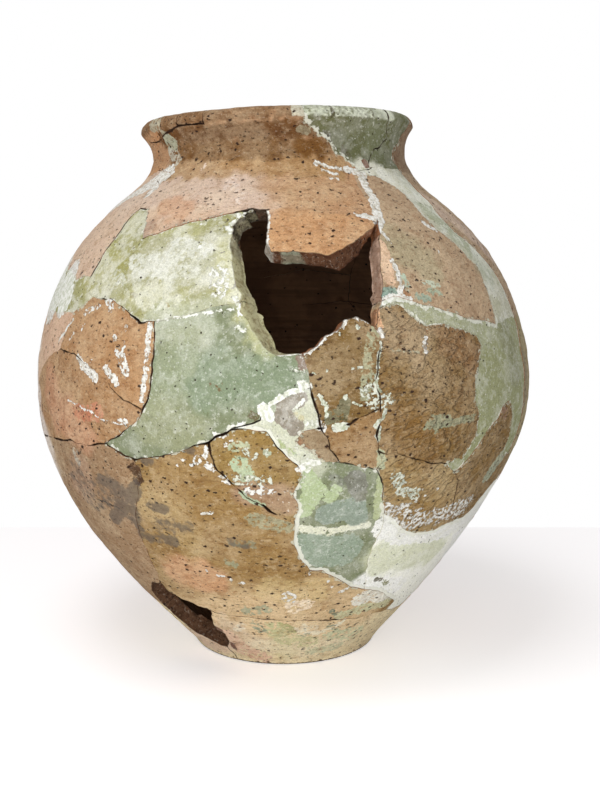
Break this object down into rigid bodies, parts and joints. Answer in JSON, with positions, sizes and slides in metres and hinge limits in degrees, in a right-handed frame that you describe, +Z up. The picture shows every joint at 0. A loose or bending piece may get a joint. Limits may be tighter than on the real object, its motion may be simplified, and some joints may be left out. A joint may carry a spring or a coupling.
{
  "type": "storage jar",
  "caption": "Restored earthenware storage jar with a rolled lip and a small flat foot, glued from sherds and plaster fills, with an open hole in its shoulder.",
  "frame": {"origin": "centre of the foot, on the surface that the jar stands on", "axes": "+Z up along the jar's axis to its mouth; -Y is the front, with the hole in the shoulder; +X is to its right seen from the front"},
  "size_m": [0.5755, 0.575, 0.6194],
  "materials": {
    "tan_clay": "unglazed, matt, pitted",
    "pink_clay": "unglazed, matt, pitted",
    "brown_clay": "unglazed, matt, worn",
    "ochre_clay": "unglazed, matt, with lime specks",
    "sooty_clay": "unglazed, matt, soot-stained",
    "pale_clay": "unglazed, matt",
    "yellow_green_plaster": "matt plaster, hand-tinted",
    "blue_green_plaster": "matt plaster, hand-tinted",
    "white_plaster": "matt plaster",
    "grey_green_plaster": "matt plaster, hand-tinted"
  },
  "bodies": {
    "root": {"lip_chip_left": "tan_clay", "lip_chip_front": "tan_clay", "rim_sherd_front": "tan_clay", "neck_sherd_left": "tan_clay", "rim_fill_front": "grey_green_plaster", "rim_fill_side": "grey_green_plaster", "rim_sherd_right": "tan_clay", "rim_sherd_back_right": "tan_clay", "rim_sherd_back": "pink_clay", "rim_sherd_back_left": "tan_clay", "shoulder_sherd_left": "pink_clay", "flap_sherd": "tan_clay", "shoulder_far_left": "pink_clay", "fill_far_left": "yellow_green_plaster", "fill_shoulder_left": "yellow_green_plaster", "fill_belly_front": "blue_green_plaster", "belly_left_block": "tan_clay", "belly_left_lower": "tan_clay", "belly_far_left": "pink_clay", "fill_centre_band": "white_plaster", "ochre_sherd": "ochre_clay", "wedge_sherd": "tan_clay", "belly_mid_upper": "tan_clay", "belly_mid_lower": "tan_clay", "belly_right_top": "brown_clay", "belly_right_main": "brown_clay", "belly_right_lower": "brown_clay", "belly_right_side": "brown_clay", "fill_right_band": "white_plaster", "fill_right_stripe": "yellow_green_plaster", "shoulder_right": "tan_clay", "shoulder_far_right": "tan_clay", "belly_far_right": "tan_clay", "fill_lower_front": "blue_green_plaster", "fill_lower_right": "white_plaster", "lower_body_front": "tan_clay", "lower_left_grey": "sooty_clay", "lower_far_left": "tan_clay", "lower_far_right": "tan_clay", "shoulder_back_right": "tan_clay", "shoulder_back": "pink_clay", "shoulder_back_left": "tan_clay", "fill_back_shoulder": "yellow_green_plaster", "belly_back_right": "brown_clay", "belly_back": "tan_clay", "fill_back_belly": "blue_green_plaster", "belly_back_left": "pink_clay", "belly_back_low_left": "tan_clay", "lower_back_right": "tan_clay", "lower_back": "ochre_clay", "lower_back_left": "tan_clay", "foot_front": "pale_clay", "foot_left": "pale_clay", "foot_right": "pale_clay", "foot_back_right": "pale_clay", "foot_back": "pale_clay", "foot_back_left": "pale_clay", "base_disc": "pale_clay"}
  },
  "joints": []
}
